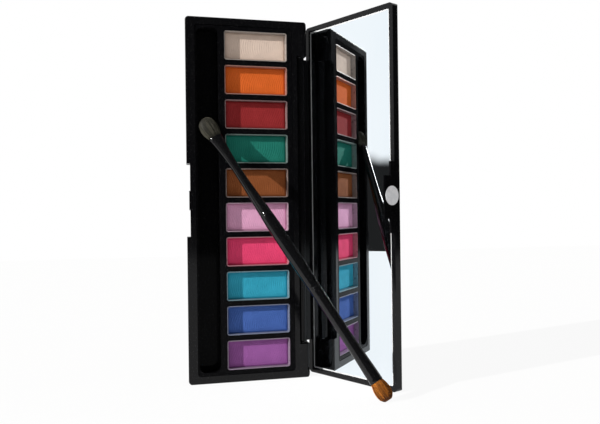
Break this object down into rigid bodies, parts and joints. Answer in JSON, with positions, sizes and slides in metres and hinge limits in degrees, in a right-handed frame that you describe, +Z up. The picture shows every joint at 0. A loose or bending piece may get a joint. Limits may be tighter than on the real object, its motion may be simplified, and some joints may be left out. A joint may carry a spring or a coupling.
{
  "type": "eyeshadow palette",
  "caption": "Slim hinged eyeshadow palette standing open, with a column of pressed-powder pans, a brush channel, a mirror lid with latch and a two-ended brush leaning on it.",
  "frame": {"origin": "centre of the base's lower end face, on which the open palette stands", "axes": "+Z up along the case, +X across the case towards the hinge, -Y out of the open front of the base"},
  "size_m": [0.0887, 0.0661, 0.17],
  "materials": {
    "case_black": "gloss moulded plastic",
    "tray_black": "satin-gloss moulded plastic",
    "pin_steel": "ground",
    "mirror_glass": "silvered glass",
    "tape": "foam tape",
    "badge_white": "gloss",
    "handle_black": "gloss lacquer",
    "ferrule_black": "gloss black",
    "amber_bristles": "fine bristles",
    "dark_bristles": "fine bristles",
    "pan_tin": "pressed tin",
    "pale_powder": "pressed powder",
    "orange_powder": "pressed powder",
    "brick_powder": "pressed powder",
    "green_powder": "pressed powder",
    "brown_powder": "pressed powder",
    "lilac_powder": "pressed powder",
    "pink_powder": "pressed powder",
    "turquoise_powder": "pressed powder",
    "blue_powder": "pressed powder",
    "purple_powder": "pressed powder"
  },
  "bodies": {
    "base": {"base_shell": "case_black", "pan_tray": "tray_black", "lower_hinge_pin": "pin_steel", "upper_hinge_pin": "pin_steel", "pan_01": "pan_tin", "pan_02": "pan_tin", "pan_03": "pan_tin", "pan_04": "pan_tin", "pan_05": "pan_tin", "pan_06": "pan_tin", "pan_07": "pan_tin", "pan_08": "pan_tin", "pan_09": "pan_tin", "pan_10": "pan_tin", "powder_01": "pale_powder", "powder_02": "orange_powder", "powder_03": "brick_powder", "powder_04": "green_powder", "powder_05": "brown_powder", "powder_06": "lilac_powder", "powder_07": "pink_powder", "powder_08": "turquoise_powder", "powder_09": "blue_powder", "powder_10": "purple_powder"},
    "lid": {"lid_shell": "case_black", "mirror": "mirror_glass", "mirror_tape": "tape", "latch_badge": "badge_white"},
    "brush": {"brush_handle": "handle_black", "lower_ferrule": "ferrule_black", "upper_ferrule": "ferrule_black", "lower_bristles": "amber_bristles", "upper_bristles": "dark_bristles"}
  },
  "joints": [
    {"name": "lid_hinge", "type": "hinge", "parent": "base", "child": "lid", "pos_m": [0.0265, 0.0007, 0.085], "axis": [0, 0, 1], "range_deg": [-116, 0]},
    {"name": "brush_slide", "type": "slide", "parent": "base", "child": "brush", "axis": [-0.3, -0.9539, 0], "range_m": [0, 0.132]}
  ],
  "couplings": [
    {"joint": "brush_slide", "follows": "lid_hinge", "m_per_rad": -0.064211}
  ]
}
